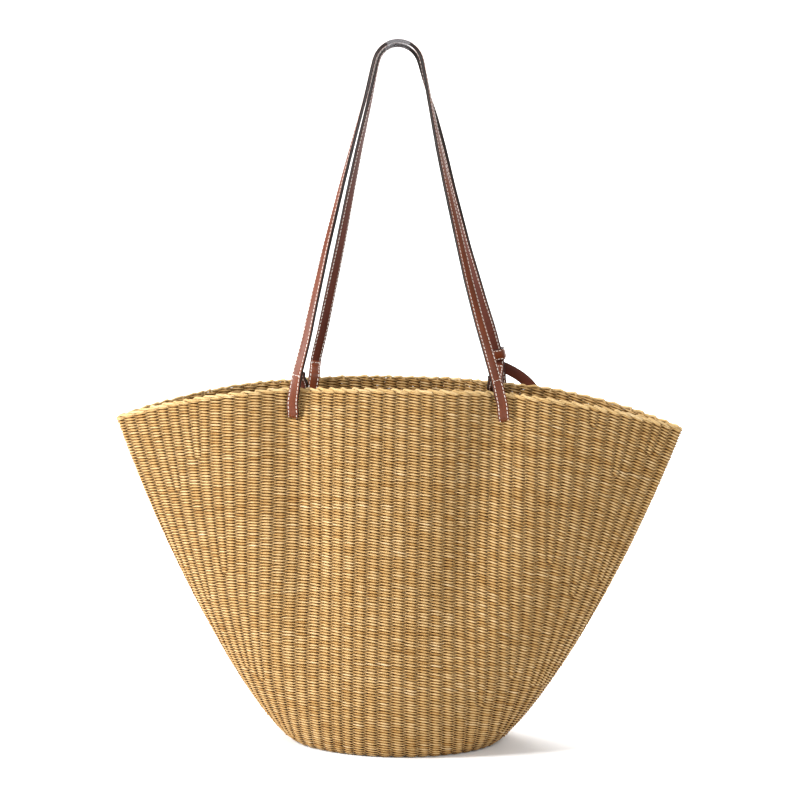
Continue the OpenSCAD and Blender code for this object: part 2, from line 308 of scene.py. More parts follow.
def row_table():
    """Lines, lengths and outward and upward directions of all rows; the last is the top edge."""
    angles = np.linspace(0, 2*np.pi, TRACE, endpoint=False)
    shares = (np.arange(WALL_ROWS + 1) + 0.5)/(WALL_ROWS - 1)
    shares[-1] -= 0.5/(WALL_ROWS - 1)
    loops = [floor_loop(row, angles) for row in range(FLOOR_ROWS)]
    loops += list(wall_loops(angles, shares))
    even = [even_loop(loop, min(ROUND_OFF, 0.2 + 0.12*row)) for row, loop in enumerate(loops)]
    lines, lengths = (np.array(part) for part in zip(*even))
    tangent = unit(np.roll(lines, -1, 1) - np.roll(lines, 1, 1))
    outward = unit(np.cross(tangent, np.gradient(lines, axis=0)))
    return lines, lengths, outward, np.cross(outward, tangent)


LINES, LENGTHS, OUTWARD, UPWARD = row_table()


def on_row(table, row, turn):
    """Values of a row table at places given in turns round the bag"""
    x = (turn % 1.0)*LINE
    i = x.astype(int) % LINE
    t = (x - np.floor(x))[..., None]
    return table[row, i]*(1 - t) + table[row, (i + 1) % LINE]*t


# -------------------- stakes
STAKE_PITCH = 7.5  # spacing of the stakes round the innermost row
WIDEST_GAP = 16.0  # about where a new stake goes in between two others
EVENING_OUT = 0.05
UPRIGHT_FADE = 0.13  # turns over which upright stakes give way to a fan


def hold_middle(places, growth):
    """Stakes in the middle of the front and back stand upright, and those near the ends fan out"""
    offset = places % 0.5 - 0.25
    upright = smooth((0.25 - np.abs(offset))/UPRIGHT_FADE)
    return places - offset*(1 - 1/growth)*upright


def plan_stakes():
    """Where each stake crosses each row, in turns, in order, with the stakes' numbers.
    A new stake goes into a gap that has grown wide, and the gaps even out over the next rows."""
    count = round(LENGTHS[0]/STAKE_PITCH)
    places = (np.arange(count) + 0.5)/count
    numbers = np.arange(count)
    plan = []
    for row, length in enumerate(LENGTHS):
        if row > FLOOR_ROWS:
            places = hold_middle(places, length/LENGTHS[row - 1])
        gap = np.diff(np.append(places, places[0] + 1))
        limit = WIDEST_GAP*rng.uniform(0.9, 1.2, len(gap))/length
        for i in np.flatnonzero(gap > limit)[::-1]:
            places = np.insert(places, i + 1, places[i] + gap[i]/2)
            numbers = np.insert(numbers, i + 1, numbers.max() + 1)
        gap = np.diff(np.append(places, places[0] + 1))
        places = places + EVENING_OUT*(gap - np.roll(gap, 1))
        plan.append((places.copy(), numbers.copy()))
    return plan


PLAN = plan_stakes()


# -------------------- twined weave
SIDES = 8
STEPS = 6  # rings for each stitch
PLY_LIFT = 0.76  # how far a weft rises and falls as it twists
PLY_DEPTH = 1.25  # how far it stands in front of the stakes or behind them
PLY_SQUARENESS = 0.45  # below 1, it stays in front of a stake for longer
HALF_HEIGHT = (0.29, 0.492)  # of a row's pitch, where a weft crosses over and in front of a stake
HALF_THICK = (0.76, 1.06)
DRIFT = 0.05  # how far a row strays up and down
WAVES = ((7, 1.0), (13, 0.8), (29, 0.6), (53, 0.4))
WAVES_LENGTH = 1190.0  # length of a row with that many waves
RUN_STITCHES = (4, 15)  # a length of straw lasts for so many stitches
TONE_SPREAD = 0.052
SEED_REACH = 400.0  # fibres start at a random place in a block of this size
FACES_PER_PIECE = 190_000


def runs(count):
    """A tone for each of count stitches that stays the same over a length of straw"""
    lengths = rng.integers(*RUN_STITCHES, count)
    return np.repeat(rng.normal(0, 1, count), lengths)[:count]


def wander(turn, length):
    """Slow waves up and down along a row"""
    wave = np.zeros_like(turn)
    for waves, weight in WAVES:
        waves = max(1, round(waves*length/WAVES_LENGTH))
        wave += weight*np.sin(2*np.pi*waves*turn + rng.uniform(0, 2*np.pi))
    return DRIFT*wave


def grass_fibre(run, angles, half_w, half_t, seed):
    """Straw coordinates: millimetres along, across and through a straw"""
    return np.stack(np.broadcast_arrays(run + seed[0], half_w*np.cos(angles) + seed[1],
                                        half_t*np.sin(angles) + seed[2]), -1)


def stitch_turns(row):
    """Stitches in a row, the stitch number of each ring and its place in turns.
    A row starts and ends where its wefts cross, so that its ends don't show."""
    places, _ = PLAN[row]
    count = len(places)
    index = np.arange(count*STEPS + 1)/STEPS + rng.integers(count) + 0.5
    spread = np.append(places, places + 1)
    spread = np.append(spread, spread[0] + 2)
    return count, index, np.interp(index, np.arange(2*count + 1), spread)


def ply_shade(front):
    """Painted shade for a weft: darker on its upper and lower sides, less on the upper side as if lit from
    above, and most where it dives between stakes.
    """
    angles = around(SIDES)
    # painted shade from light falling from above: the upper side is darkened less than the lower side
    slope = np.where(np.cos(angles) > 0, 0.8, 1.0)*np.abs(np.cos(angles))
    # painted shade where the weft dives between the stakes
    tip = np.clip(1.8 - 1.8*np.abs(front), 0, 1)[:, None]
    return 1 - mix(1.05, 1.4, tip)*slope**mix(1.4, 0.6, tip)


def twined_row(row):
    """Rings and point values of the two wefts that twist round each other along one row"""
    count, index, turn = stitch_turns(row)
    base, out, up = (on_row(table, row, turn) for table in (LINES, OUTWARD, UPWARD))
    drift = wander(turn, LENGTHS[row])
    since = index - index[0]
    stitch = np.floor(index + 0.5).astype(int) - int(index[0])
    rings, tones, fibres, shades = [], [], [], []
    for ply in (0, 1):
        phase = np.pi*(index + ply)
        front = np.cos(phase)
        jitter = rng.normal(0, 1, (count + 2, 4))
        own = points_at(since, np.arange(count + 2), jitter[:, :3])
        depth = PLY_DEPTH*np.sign(front)*np.abs(front)**PLY_SQUARENESS*(1 + 0.10*own[:, 0])
        lift = -PLY_LIFT*np.sin(phase)*(1 + 0.12*own[:, 1]) + drift + 0.05*own[:, 2]
        swell = np.abs(front)*(1 + 0.09*jitter[stitch, 3])
        path = base + depth[:, None]*out + lift[:, None]*up
        section = oval(SIDES, mix(*HALF_HEIGHT, swell)*ROW_PITCH, mix(*HALF_THICK, swell))
        rings.append(sweep(path, out, section))
        tone = 0.5 + TONE_SPREAD*runs(count + 2)[stitch]
        tone = tone + TONE_SPREAD*rng.normal(0, 1, count + 2)[stitch]
        tones.append(np.broadcast_to(tone[:, None], (len(tone), SIDES)))
        # painted shade of the weft, kept as the point value shade
        shades.append(ply_shade(front))
        fibres.append(grass_fibre(along_line(path)[:, None], around(SIDES), 1.3, 1.1,
                                  rng.uniform(0, SEED_REACH, 3)))
    return np.stack(rings), np.stack(tones), np.stack(fibres), np.stack(shades)


def weave_pieces(straw):
    """Floor weave, then bands of the wall, each small enough to be kept whole"""
    pieces = []
    shell = Shell()
    first_row = 0
    for row in range(FLOOR_ROWS + WALL_ROWS):
        rings, tone, fibre, shade = twined_row(row)
        faces = 2*sum(len(f) for f in shell.faces) + 2*rings.size//3  # once cut into triangles
        if row == FLOOR_ROWS or faces > FACES_PER_PIECE:
            pieces.append((first_row, shell))
            shell = Shell()
            first_row = row
        shell.add_tubes(rings, tone=tone, fibre=fibre, shade=shade)
    pieces.append((first_row, shell))
    for number, (start, shell) in enumerate(pieces):
        name = "floor_weave" if start < FLOOR_ROWS else f"wall_weave_{number:02d}"
        piece = shell.build(name, [straw], "grass")
        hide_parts("floor" if start < FLOOR_ROWS else "wall")
        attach(piece, "bag")


STAKE_SIDES = 6
STAKE_HALF_W = 1.0
STAKE_HALF_T = 0.62
STAKE_SKIP = 3  # a stake has a point at every third row
# painted shade: the stakes are darkened all over, as they show only in the gaps behind the wefts
STAKE_SHADE = 0.25


def stake_lines():
    """Row numbers and places of each stake from where it starts up to the top edge"""
    found = {}
    for row, (places, numbers) in enumerate(PLAN):
        for place, number in zip(places, numbers):
            found.setdefault(int(number), []).append((row, place))
    return list(found.values())


def stake_path(line):
    """Points of a stake and the ways that they face. The cut end of one that starts in the wall
    sticks out between two rows."""
    picked = line[::STAKE_SKIP]
    if (len(line) - 1) % STAKE_SKIP:
        picked = picked + line[-1:]
    rows = np.array([row for row, _ in picked])
    turn = np.array([place for _, place in picked])
    path, out, up = (on_row(table, rows, turn) for table in (LINES, OUTWARD, UPWARD))
    if rows[0] >= FLOOR_ROWS and len(path) > 1:
        start = path[0] - 1.2*up[0]
        reach = rng.uniform(2.4, 3.3)
        path = np.vstack([start + reach*out[0] - 0.6*up[0], start + 1.6*out[0], start[None], path])
        out = np.vstack([up[0], up[0], out[0], out])
    return path, out


def stake_piece(straw):
    shell = Shell()
    for line in stake_lines():
        path, out = stake_path(line)
        if len(path) < 3:
            continue
        width = np.full(len(path), STAKE_HALF_W)
        width[0] *= 0.75
        rings = sweep(path, out, oval(STAKE_SIDES, width, width*STAKE_HALF_T/STAKE_HALF_W))
        fibre = grass_fibre(along_line(path)[:, None], around(STAKE_SIDES), 1.2, 1.2,
                            rng.uniform(0, SEED_REACH, 3))
        shell.add_tubes(rings[None], tone=0.55 + 0.1*rng.normal(), fibre=fibre[None], shade=STAKE_SHADE)
    piece = shell.build("stake_straws", [straw], "stake")
    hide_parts("stakes")
    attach(piece, "bag")


# -------------------- rim
# A folded stake, as (stakes along, millimetres up, millimetres out), from the top row of weft
FOLD = np.array([(0.0, -4.0, 0.0), (-0.06, -0.8, -0.6), (-0.04, 0.9, -1.0), (0.12, 2.1, -0.8),
                 (0.45, 1.3, 0.0), (0.85, 0.5, 0.8), (1.15, -0.2, 1.0), (1.35, -0.9, 0.3),
                 (1.45, -1.6, -0.6)])
FOLD_POINTS = 22
FOLD_SIDES = 8
FOLD_LENGTH = 40.0  # of straw in a fold, for the run of its fibres


def fold_paths(places):
    """Points of every folded stake end, each (stakes, points, 3), and the ways that they face"""
    top = len(LINES) - 1
    size = (len(places), len(FOLD))
    knots = np.arange(len(places))[:, None] + FOLD[:, 0] + rng.normal(0, 0.05, size)
    turn = np.interp(knots, np.arange(2*len(places)), np.concatenate([places, places + 1]))
    high = FOLD[:, 1] + rng.normal(0, 0.22, size)
    deep = FOLD[:, 2] + rng.normal(0, 0.2, size)
    outward = on_row(OUTWARD, top, turn)
    points = (on_row(LINES, top, turn) + high[..., None]*on_row(UPWARD, top, turn)
              + deep[..., None]*outward)
    weights = curve_weights(len(FOLD), FOLD_POINTS)
    return (np.einsum("pk,ckd->cpd", weights, points), np.einsum("pk,ckd->cpd", weights, outward))


def rim_piece(straw):
    """Every stake is bent over to the right and tucked down in front of the next ones."""
    path, out = fold_paths(PLAN[-1][0])
    count = len(path)
    t = np.linspace(0, 1, FOLD_POINTS)
    swell = 0.78 + 0.30*np.sin(np.pi*t)**0.8
    size = rng.uniform(0.88, 1.12, (count, 1))
    rings = sweep(path, out, oval(FOLD_SIDES, 1.30*swell*size, 1.10*swell*size))
    run = FOLD_LENGTH*t[None, :, None] + rng.uniform(0, SEED_REACH, (count, 1, 1))
    seed = rng.uniform(0, SEED_REACH, (count, 1, 1))
    angles = around(FOLD_SIDES)
    fibre = grass_fibre(run, angles, 1.8, 1.5, (0, seed, seed))
    tone = 0.58 + TONE_SPREAD*rng.normal(0, 1, (count, 1, 1))
    # painted shade: each fold is darker where it tucks into the weave at both ends, and on its sides
    shade = smooth(2.2*np.sin(np.pi*t))[None, :, None]*(1 - 0.4*np.abs(np.cos(angles))**3)
    shell = Shell()
    shell.add_tubes(rings, tone=tone, fibre=fibre, shade=shade)
    piece = shell.build("rim_folds", [straw], "grass")
    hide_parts("rim_border")
    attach(piece, "bag")


# -------------------- strap paths
# A side of -1 is the front handle and 1 the back one; an end of -1 is its left leg and 1 its right.
STRAP_HALF = 5.5
LAYER_T = 1.8
SEAM_AT = 4.0
HANDLE_TOP = {-1: 704.0, 1: 700.3}
CROWN_R = {-1: 24.6, 1: 21.25}
SHIFT = {-1: 6.5, 1: 5.0}
CROWN_SHIFT = {-1: -1.3, 1: -3.5}
SLOT_Z = 333.0
# How far each leg bows to the right of its straight line, as (height, distance)
BOW = {(-1, -1): [(333, -0.5), (350, -3.5), (375, -4.5), (410, -3.4), (440, -4.1), (500, -4.7),
                  (560, -3.7), (600, -2.4), (650, -0.4), (704, 0)],
       (-1, 1): [(333, 0.5), (350, 2.5), (375, 2.0), (400, 0.4), (430, -1.8), (470, -3.4),
                 (560, -4.0), (600, -3.7), (650, -2.0), (704, 0)],
       (1, -1): [(333, 3.0), (360, 0.5), (381, -1.5), (410, -0.5), (440, -0.5), (500, -0.3),
                 (560, -1.0), (600, -1.0), (650, 0), (704, 0)],
       (1, 1): [(333, -1.0), (355, -1.0), (383, 3.2), (414, 3.2), (445, 1.6), (500, 0.0),
                (560, 0.8), (600, 2.4), (630, 2.6), (660, 0.8), (704, 0)]}
LOOP_R = 8.1
END_Z = 381.0
CROWN_Y = 6.75
RIM_CLEAR_Z = 367.0
STRAP_STEP = 1.6
LAYER_GAP = 0.4  # between a strap and its end that comes back up behind it
SMOOTHINGS = 12
# How far a leg faces away from front and back, in degrees: at its foot, above the rim and at the crown
FOOT_TURN = 8.0
RIM_TURN = {-1: 32.0, 1: 10.0}
CROWN_TURN = 90.0
TURN_Z = (340.0, 380.0, 670.0)
VIEW_OF = {-1: "front", 1: "back"}
BODY_OF = {-1: "front_handle", 1: "back_handle"}


def lean_of(side):
    h = HANDLE_TOP[side] - CROWN_R[side] - SLOT_Z
    return math.atan(SLOT_X/h) - math.asin(CROWN_R[side]/math.hypot(SLOT_X, h))


def rim_y(x):
    """Distance of the wall's top edge from the middle plane"""
    return wall_point(np.arccos(x/half_width(1.0, 0.0)), 1.0)[1]


def loop_y(side, end):
    return float(rim_y(SLOT_X + end*SHIFT[side] - STRAP_HALF))


def strap_point(side, end, s):
    """Point of a strap at distance s from the top of its handle, and the way that it faces"""
    radius, lean, top = CROWN_R[side], lean_of(side), HANDLE_TOP[side]
    arc = radius*(math.pi/2 - lean)
    angle = np.minimum(s, arc)/radius
    over = np.maximum(s - arc, 0)
    x = end*(radius*np.sin(angle) + over*math.sin(lean))
    z = top - radius + radius*np.cos(angle) - over*math.cos(lean)
    share = np.clip((z - END_Z)/(top - END_Z), 0, 1)
    y = side*mix(loop_y(side, end) + LOOP_R, CROWN_Y, share)
    foot_z, rim_z, crown_z = TURN_Z
    near_rim = smooth((z - foot_z)/(rim_z - foot_z))
    above = np.clip((z - rim_z)/(crown_z - rim_z), 0, 1)**1.05
    rim_turn = RIM_TURN[side]
    turn = np.radians(mix(FOOT_TURN, rim_turn, near_rim) + (CROWN_TURN - rim_turn)*above)
    facing = np.stack([np.sin(turn)*end*np.sin(angle), np.cos(turn)*side,
                       np.sin(turn)*np.cos(angle)], -1)
    sway = mix(SHIFT[side], CROWN_SHIFT[side], np.clip((z - SLOT_Z)/(top - SLOT_Z), 0, 1))
    heights, bow = np.array(BOW[side, end], float).T
    return np.stack([x + sway + np.interp(z, heights, bow), y, z], -1), facing


def leg_s(side, z):
    """Distance along a leg at which it is at height z"""
    radius, lean = CROWN_R[side], lean_of(side)
    centre = HANDLE_TOP[side] - radius
    return radius*(math.pi/2 - lean) + (centre + radius*math.sin(lean) - z)/math.cos(lean)


def half_strap(side, end):
    """Half of a strap: from the top of the handle down, in through the wall and up behind itself"""
    foot = SLOT_Z + LOOP_R
    down, facing_down = strap_point(side, end, np.arange(0, leg_s(side, foot), STRAP_STEP))
    up_leg = np.array([-end*math.sin(lean_of(side)), 0, math.cos(lean_of(side))])
    out = np.array([0, side, 0])
    foot_x = end*SLOT_X + SHIFT[side] + BOW[side, end][0][1]
    centre = np.array([foot_x, side*loop_y(side, end), SLOT_Z]) + LOOP_R*up_leg
    a = np.linspace(0, np.pi, 17)[:, None]
    turn = np.cos(a)*out - np.sin(a)*up_leg
    heights = np.arange(foot + STRAP_STEP, END_Z, STRAP_STEP)
    near, facing_near = strap_point(side, end, leg_s(side, heights))
    share = smooth((heights - RIM_CLEAR_Z)/(END_Z - STRAP_HALF - RIM_CLEAR_Z))
    depth = mix(2*LOOP_R, 2*LAYER_T + LAYER_GAP, share)[:, None]
    points = np.vstack([down, centre + LOOP_R*turn, near - depth*facing_near])
    facing = np.vstack([facing_down, turn, -facing_near])
    return points, facing


def whole_strap(side):
    """Evenly spaced points and facings from one inner end over the crown to the other"""
    left, left_facing = half_strap(side, -1)
    right, right_facing = half_strap(side, 1)
    points = np.vstack([left[:0:-1], right])
    facing = np.vstack([left_facing[:0:-1], right_facing])
    run = along_line(points)
    at = np.linspace(0, run[-1], round(run[-1]/STRAP_STEP))
    both = points_at(at, run, np.hstack([points, facing]))
    for _ in range(SMOOTHINGS):
        both[1:-1] = (both[:-2] + 2*both[1:-1] + both[2:])/4
    return both[:, :3], unit(both[:, 3:])


# Half of a leather layer's section, as (across, facing), from its middle to its edge
LAYER_SECTION = [(0.0, 1.98), (2.0, 1.95), (3.4, 1.84), (3.7, 1.70), (4.0, 1.60), (4.3, 1.68),
                 (4.6, 1.78), (5.05, 1.70), (5.35, 1.42), (5.5, 1.0), (5.5, 0.0)]
PAINT_BEYOND = 5.3


def painted_sides(section, beyond):
    """The material of each side of a section: 1, edge paint, past a distance from the middle, and
    on a side that lies in the middle plane, between two layers"""
    middle = (section + np.roll(section, -1, axis=0))/2
    return ((np.abs(middle[:, 0]) > beyond) | (middle[:, 1] == 0)).astype(int)


def layer_section(upper):
    """Closed section of the face layer or of the lining below it"""
    half = np.array(LAYER_SECTION)
    outline = np.vstack([half[::-1], half[1:]*[-1, 1]])
    return outline if upper else outline[::-1]*[1, -1]


def strap_fibre(path, section):
    """Leather coordinates: millimetres along, across and through a strap"""
    run = along_line(path)[:, None]
    return np.stack(np.broadcast_arrays(run, section[None, :, 0], section[None, :, 1]), -1)


def strap_pieces(side, leather, lining, paint):
    path, facing = whole_strap(side)
    for upper, material, kind, slot in ((True, leather, "face", "leather"),
                                        (False, lining, "lining", "lining")):
        section = layer_section(upper)
        shell = Shell()
        shell.add_tubes(sweep(path, facing, section)[None], slot=painted_sides(section, PAINT_BEYOND),
                        fibre=strap_fibre(path, section)[None])
        piece = shell.build(f"{VIEW_OF[side]}_strap_{kind}", [material, paint], slot)
        bend_with_handle(piece, side, kind)


def bend_with_handle(piece, side, kind):
    """Hides the CAD parts of the handle and its loops that the piece stands in for, and bakes the piece's
    placement into its points
    """
    body, view = BODY_OF[side], VIEW_OF[side]
    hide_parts(f"{body}_{kind}", f"{view}_left_loop_{kind}", f"{view}_right_loop_{kind}")
    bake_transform(piece)


# -------------------- stitches
STITCH_PITCH = 3.9
STITCH_LENGTH = 2.9
STITCH_R = 0.36
STITCH_SIDES = 6
STITCH_DIP = 0.3
# Rings of a stitch, as (share of its length from the middle, share of its thickness)
STITCH_RINGS = np.array([(-0.5, 0.35), (-0.46, 0.8), (-0.3, 1.0), (0.0, 1.06), (0.3, 1.0),
                         (0.46, 0.8), (0.5, 0.35)])


def add_stitches(shell, centres, along, facing, length=STITCH_LENGTH):
    """Short rounded threads that dip into the leather at both ends"""
    share, thick = STITCH_RINGS[:, 0], STITCH_RINGS[:, 1]
    path = centres[:, None] + share[None, :, None]*length*unit(along)[:, None]
    path = path - (2*np.abs(share)[None, :, None])**4*STITCH_DIP*facing[:, None]
    normals = np.broadcast_to(facing[:, None], path.shape)
    rings = sweep(path, normals, oval(STITCH_SIDES, STITCH_R*thick, STITCH_R*thick))
    shell.add_tubes(rings, tone=rng.uniform(0.3, 1.0, (len(centres), 1, 1)))


def seam(path, facing, offset, height, start, stop):
    """Places, directions and normals of a row of stitches beside a path"""
    run = along_line(path)
    tangent = unit(np.gradient(path, axis=0))
    normal = square_to(tangent, facing)
    across = np.cross(normal, tangent)
    line = path + offset*across + height*normal
    at = np.arange(start, stop, STITCH_PITCH)
    return [points_at(at, run, values) for values in (line, tangent, normal, across)]


def spread_round(outline, pitch):
    """An outline closed by its first point, its run, and distances along it about a pitch apart"""
    loop = np.vstack([outline, outline[:1]])
    run = along_line(loop)
    count = round(run[-1]/pitch)
    return loop, run, (np.arange(count) + 0.5)*run[-1]/count


SEAM_HEIGHT = 1.66
SEAM_INSET = (3.0, 2.0)  # from the two ends of a strap
STITCH_SLANT = 0.10
STITCH_WANDER = 0.03
TACK_HEIGHT = 1.72
TACK_AT = 101.0  # from each end of a strap to the row of stitches above the rim
END_TACK_AT = 2.0
TACK_STITCHES = np.array([-2.7, 0.0, 2.7])
TACK_LENGTH = 2.4


def strap_stitches(side, thread):
    path, facing = whole_strap(side)
    length = along_line(path)[-1]
    shell = Shell()
    for layer in (1, -1):
        for edge in (-1, 1):
            at, along, normal, across = seam(path, facing, edge*SEAM_AT, layer*SEAM_HEIGHT,
                                             SEAM_INSET[0], length - SEAM_INSET[1])
            along = along + STITCH_SLANT*across + rng.normal(0, STITCH_WANDER, along.shape)
            add_stitches(shell, at, along, layer*normal)
    for place in (END_TACK_AT, length - END_TACK_AT, TACK_AT, length - TACK_AT):
        at, along, normal, across = seam(path, facing, 0.0, TACK_HEIGHT, place, place + 1)
        row = at + TACK_STITCHES[:, None]*across
        tilt = np.broadcast_to(across + 0.05*along, row.shape)
        add_stitches(shell, row, tilt, np.broadcast_to(normal, row.shape), TACK_LENGTH)
    piece = shell.build(f"{VIEW_OF[side]}_strap_stitches", [thread], "thread")
    bend_with_handle(piece, side, "seams")


# -------------------- clear sleeves
SLEEVE_HALF = 12.5
SLEEVE_T = 0.35
SLEEVE_RINGS = 21
SLEEVE_GAP = (0.2, 0.25)  # between the strap and the film, beside it and above it


def round_box(half_w, low, high, corner, steps=5):
    """Outline of a box with round corners, anticlockwise"""
    turns = []
    for cx, cy, first in ((half_w - corner, high - corner, 0), (corner - half_w, high - corner, 1),
                          (corner - half_w, low + corner, 2), (half_w - corner, low + corner, 3)):
        a = np.pi/2*(first + np.arange(steps)/(steps - 1))
        turns.append(np.stack([cx + corner*np.cos(a), cy + corner*np.sin(a)], -1))
    return np.vstack(turns)


def sleeve_piece(side, film):
    """Clear film wrapped once round the strap at the top of the handle"""
    path, facing = whole_strap(side)
    run = along_line(path)
    middle = run[np.argmax(path[:, 2])]
    at = middle + np.linspace(-SLEEVE_HALF, SLEEVE_HALF, SLEEVE_RINGS)
    centre = points_at(at, run, path)
    normal = unit(points_at(at, run, facing))
    half_w, half_t = STRAP_HALF + SLEEVE_GAP[0], LAYER_T + SLEEVE_GAP[1]
    inner = sweep(centre, normal, round_box(half_w, -half_t, half_t, 0.8))
    outer = sweep(centre, normal, round_box(half_w + SLEEVE_T, -half_t - SLEEVE_T,
                                            half_t + SLEEVE_T, 0.8 + SLEEVE_T))
    shell = Shell()
    shell.add_tubes(np.concatenate([outer, inner[::-1]])[None], closed=True)
    piece = shell.build(f"{BODY_OF[side]}_film", [film], "film")
    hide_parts(f"{BODY_OF[side]}_sleeve")
    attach(piece, BODY_OF[side])


# -------------------- keeper
KEEPER_Z = (384.0, 395.0)
KEEPER_T = 1.5
KEEPER_GAP = 0.6  # beside the strap and in front of it
KEEPER_SLACK = 3.0  # behind it, where the tag's strap goes through
KEEPER_SEAM_AT = 1.4  # from its edges
KEEPER_PITCH = 3.1
KEEPER_STITCH = 2.2


def keeper_axes():
    """Centre, directions along, across and facing, and length of the keeper"""
    ends, facing = strap_point(1, 1, leg_s(1, np.array(KEEPER_Z)))
    along = unit(ends[1] - ends[0])
    facing = square_to(along, facing.mean(0))
    return ends.mean(0), along, np.cross(facing, along), facing, float(np.linalg.norm(ends[1] - ends[0]))


def keeper_pieces(leather, paint, thread):
    centre, along, across, facing, length = keeper_axes()
    h, t = length/2, KEEPER_T/2
    ring = round_box(STRAP_HALF + KEEPER_GAP + t, -LAYER_T - KEEPER_GAP - t,
                     LAYER_T + KEEPER_SLACK + t, 2.0, 8)
    path = centre + ring[:, :1]*across + ring[:, 1:]*facing
    out = unit(np.cross(np.roll(path, -1, 0) - np.roll(path, 1, 0), along))
    # Section of the band, as (along the leg, out), and the material of its sides; 1 is edge paint
    half = np.array([(h, -t), (h, t - 0.4), (h - 0.4, t), (h - 1.1, t + 0.02), (h - 1.4, t - 0.12),
                     (h - 1.7, t + 0.04)])
    band = np.vstack([half, [(0, t + 0.12)], half[::-1]*[-1, 1]])
    sides = np.array([1, 1] + 8*[0] + [1, 1, 0])
    rings = path[:, None] + band[None, :, :1]*along + band[None, :, 1:]*out[:, None]
    loop, run, at = spread_round(path, KEEPER_PITCH)
    fibre = np.stack(np.broadcast_arrays(run[:-1, None], band[None, :, 0], band[None, :, 1]), -1)
    shell = Shell()
    shell.add_tubes(rings[None], slot=sides, closed=True, fibre=fibre[None])
    piece = shell.build("keeper_band", [leather, paint], "leather")
    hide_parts("keeper")
    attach(piece, "keeper")

    normal = unit(points_at(at, run, np.vstack([out, out[:1]])))
    line = points_at(at, run, loop) + (t - 0.02)*normal
    shell = Shell()
    for offset in (KEEPER_SEAM_AT - h, h - KEEPER_SEAM_AT):
        add_stitches(shell, line + offset*along, np.cross(normal, along), normal, KEEPER_STITCH)
    piece = shell.build("keeper_thread", [thread], "thread")
    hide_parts("keeper_seams")
    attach(piece, "keeper")


# -------------------- tag
# The tag's strap leaves the keeper, runs down to the right and hangs behind the wall.
TAG_PATH = np.array([(97, 62, 382), (99, 62, 378), (105, 62, 375.4), (113, 62, 371.6), (122, 62.4, 366),
                     (131, 62.8, 358), (138, 63.4, 348), (142, 64, 336), (143, 65, 322)], float)
TAG_RINGS = 60
TAG_PAINT_BEYOND = 5.1
TAG_T = 1.8
TAG_SIZE = (36.0, 60.0)
TAG_CORNER = 5.0
TAG_HANG = np.array([143, 65.2, 322])
TAG_TILT = math.radians(4)
TAG_SEAM_AT = 1.6  # from the tag's edges
# Half of the tag's section, as (inset from its outline, share of its thickness), with a creased seam
TAG_SECTION = [(3.4, 0.98), (2.0, 0.90), (TAG_SEAM_AT, 0.82), (1.2, 0.90), (0.4, 0.85), (0.0, 0.5)]


def tag_strap_piece(lining, paint):
    """One layer of the smooth leather, which shows on both sides"""
    path = curve_weights(len(TAG_PATH), TAG_RINGS) @ TAG_PATH
    front = layer_section(True)
    section = np.vstack([front, front[-2:0:-1]*[1, -1]])
    sides = painted_sides(section, TAG_PAINT_BEYOND)
    section = section*[1.0, 0.5*TAG_T/LAYER_T]
    facing = np.broadcast_to([0.0, -1.0, 0.0], path.shape)
    shell = Shell()
    shell.add_tubes(sweep(path, facing, section)[None], slot=sides, fibre=strap_fibre(path, section)[None])
    piece = shell.build("tag_hanger", [lining, paint], "lining")
    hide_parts("tag_strap")
    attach(piece, "tag")


def tag_line(inset):
    """The tag's outline, moved in from its edges: flat, and as points in its middle plane"""
    w, h = TAG_SIZE
    flat = round_box(w/2 - inset, inset, h - inset, max(TAG_CORNER - inset, 0.6), 6)
    up = np.array([0, -math.sin(TAG_TILT), math.cos(TAG_TILT)])
    return flat, TAG_HANG - (h + 0.3)*up + flat[:, :1]*np.array([1.0, 0, 0]) + flat[:, 1:]*up


def tag_pieces(leather, paint, thread):
    out = np.array([0, math.cos(TAG_TILT), math.sin(TAG_TILT)])
    layers = [(inset, -share) for inset, share in TAG_SECTION] + TAG_SECTION[::-1]
    rings, fibre = [], []
    for inset, share in layers:
        flat, line = tag_line(inset)
        height = share*TAG_T
        rings.append(line + height*out)
        fibre.append(np.column_stack([flat, np.full(len(flat), height)]))
    rings, fibre = np.stack(rings)[:, ::-1], np.stack(fibre)[:, ::-1]
    shell = Shell()
    shell.add_tubes(rings[None], fibre=fibre[None])
    piece = shell.build("tag_leather", [leather, paint], "leather")
    painted = np.zeros(len(piece.data.polygons), np.int32)
    edge = len(TAG_SECTION)*rings.shape[1]
    painted[edge - 2*rings.shape[1]:edge + rings.shape[1]] = 1
    piece.data.polygons.foreach_set("material_index", painted)
    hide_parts("tag")
    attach(piece, "tag")

    loop, run, at = spread_round(tag_line(TAG_SEAM_AT)[1], STITCH_PITCH)
    place = points_at(at, run, loop)
    ahead = points_at((at + 0.5) % run[-1], run, loop)
    shell = Shell()
    for face in (-1, 1):
        normal = np.broadcast_to(face*out, place.shape)
        add_stitches(shell, place + TAG_T*0.86*normal, ahead - place, normal)
    piece = shell.build("tag_thread", [thread], "thread")
    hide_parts("tag_seams")
    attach(piece, "tag")


# -------------------- inner patch
PATCH_ANGLE = (86.4, 92.2)  # degrees round the wall
PATCH_V = (0.84, 0.965)  # shares of the wall's height
# Section of its edge, as (share of its size, depth inwards as wall_point's k), from its face to its back
PATCH_SECTION = [(0.9, -2.1), (0.97, -2.04), (1.0, -1.8), (1.0, -1.2)]
PATCH_SEAMS = (0.22, 0.5, 0.78)
PATCH_SEAM_K = -2.14


def patch_point(across, rise, k):
    """Point of the patch at shares across it and up it"""
    return wall_point(np.radians(mix(*PATCH_ANGLE, across)), mix(*PATCH_V, rise), k)


